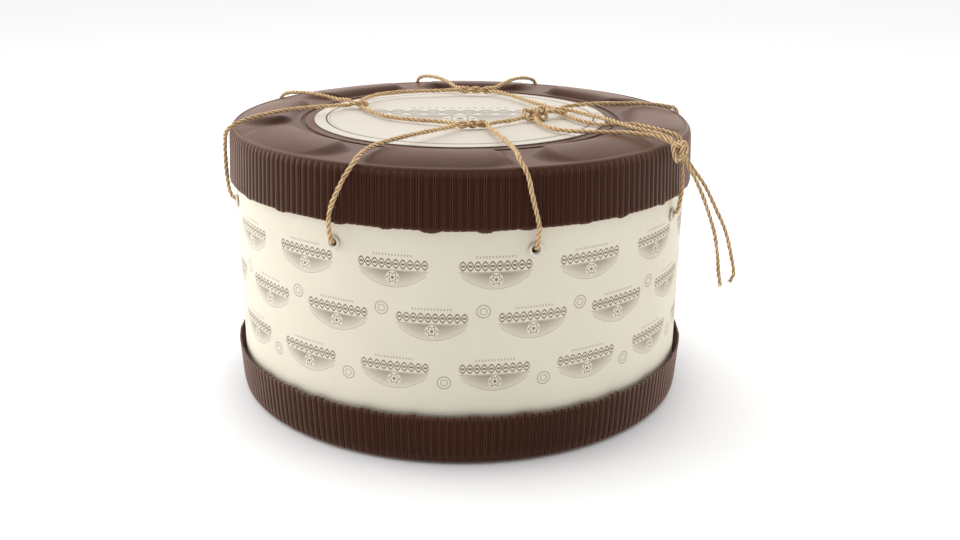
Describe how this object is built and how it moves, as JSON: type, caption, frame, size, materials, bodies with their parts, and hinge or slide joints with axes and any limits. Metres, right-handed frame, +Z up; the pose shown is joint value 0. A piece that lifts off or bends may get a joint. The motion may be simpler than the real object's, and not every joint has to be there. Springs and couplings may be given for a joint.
{
  "type": "round gift box for a large sweet bread",
  "caption": "Round lidded gift box: ribbed brown lid and base tray, printed cream card wall, lid laced down with jute twine through eyelets.",
  "frame": {"origin": "centre of the tray's flat underside, on the surface the box stands on", "axes": "+Z up along the box's round axis; the front with the two facing laces looks towards -Y; the knot at the rim hangs towards +X and -Y"},
  "size_m": [0.2638, 0.2508, 0.1524],
  "materials": {
    "brown_sheet": "satin, chocolate brown pressed sheet",
    "cream_card": "matt cream paper-faced card",
    "cream_paper": "matt cream label paper",
    "ivory_eyelet": "smooth ivory",
    "jute_twine": "rough twisted natural fibre"
  },
  "bodies": {
    "root": {"base_tray": "brown_sheet", "side_wall": "cream_card", "lid": "brown_sheet", "lid_label": "cream_paper", "eyelet_1": "ivory_eyelet", "eyelet_2": "ivory_eyelet", "eyelet_3": "ivory_eyelet", "eyelet_4": "ivory_eyelet", "eyelet_5": "ivory_eyelet", "eyelet_6": "ivory_eyelet", "eyelet_7": "ivory_eyelet", "eyelet_8": "ivory_eyelet", "lacing_front": "jute_twine", "lacing_left": "jute_twine", "lacing_back": "jute_twine", "lacing_right_upper": "jute_twine", "lacing_right_lower": "jute_twine", "lacing_knot": "jute_twine", "draw_ring": "jute_twine", "knot_centre": "jute_twine", "draw_run_1": "jute_twine", "draw_run_2": "jute_twine", "knot_rim": "jute_twine", "tail_1": "jute_twine", "tail_2": "jute_twine"}
  },
  "joints": []
}
